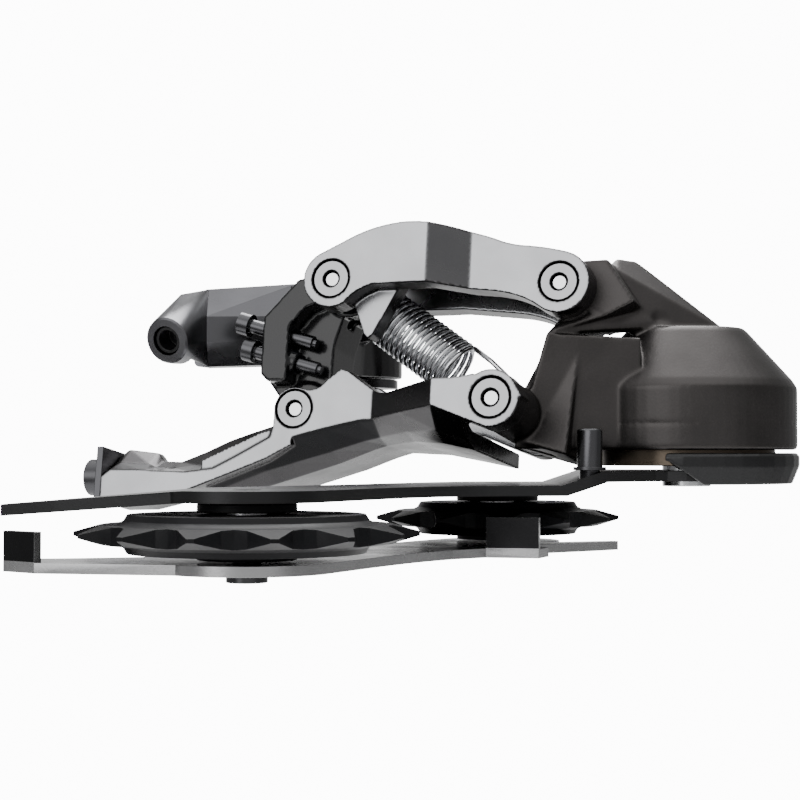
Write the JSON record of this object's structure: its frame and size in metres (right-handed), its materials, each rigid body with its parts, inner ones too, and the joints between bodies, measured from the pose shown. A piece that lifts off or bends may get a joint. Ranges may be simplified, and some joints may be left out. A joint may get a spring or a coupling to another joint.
{
  "type": "rear bicycle derailleur",
  "caption": "Long-cage rear derailleur: hanger knuckle, oblique parallelogram with an exposed return spring, clutch housing and a sprung cage with two toothed pulleys.",
  "frame": {"origin": "on the hanger bolt's axis, in the plane where the stop washer meets the frame's hanger tab", "axes": "+X forward on the bike, +Y up, +Z outboard to the drive side, along the hanger bolt and the cage pivot"},
  "size_m": [0.1516, 0.1569, 0.0698],
  "materials": {
    "link": "fine machined, anodised light grey",
    "gunmetal": "satin anodised gunmetal",
    "gloss_black": "gloss black",
    "housing": "satin warm grey",
    "satin_black": "satin black",
    "pulley": "satin black",
    "steel": "bright",
    "dark_steel": "black oxide",
    "bearing": "ground",
    "bronze": "dull bronze"
  },
  "bodies": {
    "hanger": {"hanger_bolt": "dark_steel", "stop_washer": "dark_steel"},
    "b_knuckle": {"b_knuckle": "gloss_black", "hanger_bushing": "bronze", "cable_stop": "gunmetal", "housing_ferrule": "satin_black", "outer_rear_pivot_pin": "steel", "inner_rear_pivot_pin": "steel"},
    "b_tension_screw": {"b_tension_screw": "dark_steel"},
    "high_limit_screw": {"high_limit_screw": "dark_steel"},
    "low_limit_screw": {"low_limit_screw": "dark_steel"},
    "outer_link": {"outer_link": "link", "outer_rear_near_bush": "link", "outer_rear_far_bush": "link", "outer_front_near_bush": "link", "outer_front_far_bush": "link", "return_spring": "steel"},
    "inner_link": {"inner_link": "link", "inner_rear_near_bush": "link", "inner_rear_far_bush": "link", "inner_front_near_bush": "link", "inner_front_far_bush": "link", "cable_clamp_plate": "dark_steel", "cable_clamp_bolt": "dark_steel"},
    "p_knuckle": {"p_knuckle": "housing", "outer_front_pivot_pin": "steel", "inner_front_pivot_pin": "steel", "cage_axle_bush": "bronze", "cage_spring": "steel", "clutch_roller_hub": "bearing", "clutch_band_spring": "dark_steel", "cage_dust_seal": "bronze"},
    "cage": {"cage_axle": "steel", "cage_mount_base": "satin_black", "cage_outer_plate": "satin_black", "cage_inner_plate": "satin_black", "cage_stop_pin": "dark_steel", "guide_pulley_spacer": "steel", "tension_pulley_spacer": "steel", "guide_pulley_bolt": "dark_steel", "tension_pulley_bolt": "dark_steel", "guide_outer_seal": "pulley", "guide_inner_seal": "pulley", "tension_outer_seal": "pulley", "tension_inner_seal": "pulley"},
    "guide_pulley": {"guide_pulley": "pulley", "guide_pulley_bearing": "bearing"},
    "tension_pulley": {"tension_pulley": "pulley", "tension_pulley_bearing": "bearing"}
  },
  "joints": [
    {"name": "hanger_pivot", "type": "hinge", "parent": "hanger", "child": "b_knuckle", "pos_m": [0, 0, 0.012], "axis": [0, 0, 1], "range_deg": [0, 18]},
    {"name": "swing", "type": "hinge", "parent": "b_knuckle", "child": "outer_link", "pos_m": [0.00257, -0.03005, 0.01923], "axis": [0.3312, 0.9302, -0.1582], "range_deg": [0, 42], "stiffness_Nm_per_rad": 1.2, "springref_deg": -28.65, "deforming": ["return_spring"]},
    {"name": "inner_swing", "type": "hinge", "parent": "b_knuckle", "child": "inner_link", "pos_m": [-0.00683, -0.03115, -0.00694], "axis": [0.3312, 0.9302, -0.1582], "range_deg": [0, 42]},
    {"name": "p_swing", "type": "hinge", "parent": "outer_link", "child": "p_knuckle", "pos_m": [0.0474, -0.04619, 0.01818], "axis": [0.3312, 0.9302, -0.1582], "range_deg": [-42, 0]},
    {"name": "cage_pivot", "type": "hinge", "parent": "p_knuckle", "child": "cage", "pos_m": [0.0715, -0.042, -0.005], "axis": [0, 0, 1], "range_deg": [0, 105], "stiffness_Nm_per_rad": 0.6, "springref_deg": -45.84},
    {"name": "guide_pulley_spin", "type": "hinge", "parent": "cage", "child": "guide_pulley", "pos_m": [0.0326, -0.035, -0.0286], "axis": [0, 0, 1], "continuous": true},
    {"name": "tension_pulley_spin", "type": "hinge", "parent": "cage", "child": "tension_pulley", "pos_m": [-0.0141, -0.113, -0.0286], "axis": [0, 0, 1], "continuous": true},
    {"name": "high_limit_adjust", "type": "slide", "parent": "b_knuckle", "child": "high_limit_screw", "axis": [0.8935, -0.3631, -0.2643], "range_m": [-0.003, 0.001]},
    {"name": "low_limit_adjust", "type": "slide", "parent": "b_knuckle", "child": "low_limit_screw", "axis": [0.8935, -0.3631, -0.2643], "range_m": [-0.003, 0]},
    {"name": "b_tension_adjust", "type": "slide", "parent": "b_knuckle", "child": "b_tension_screw", "axis": [0, 1, 0], "range_m": [-0.004, 0]}
  ],
  "couplings": [
    {"joint": "inner_swing", "follows": "swing", "ratio": 1},
    {"joint": "p_swing", "follows": "swing", "ratio": -1}
  ]
}
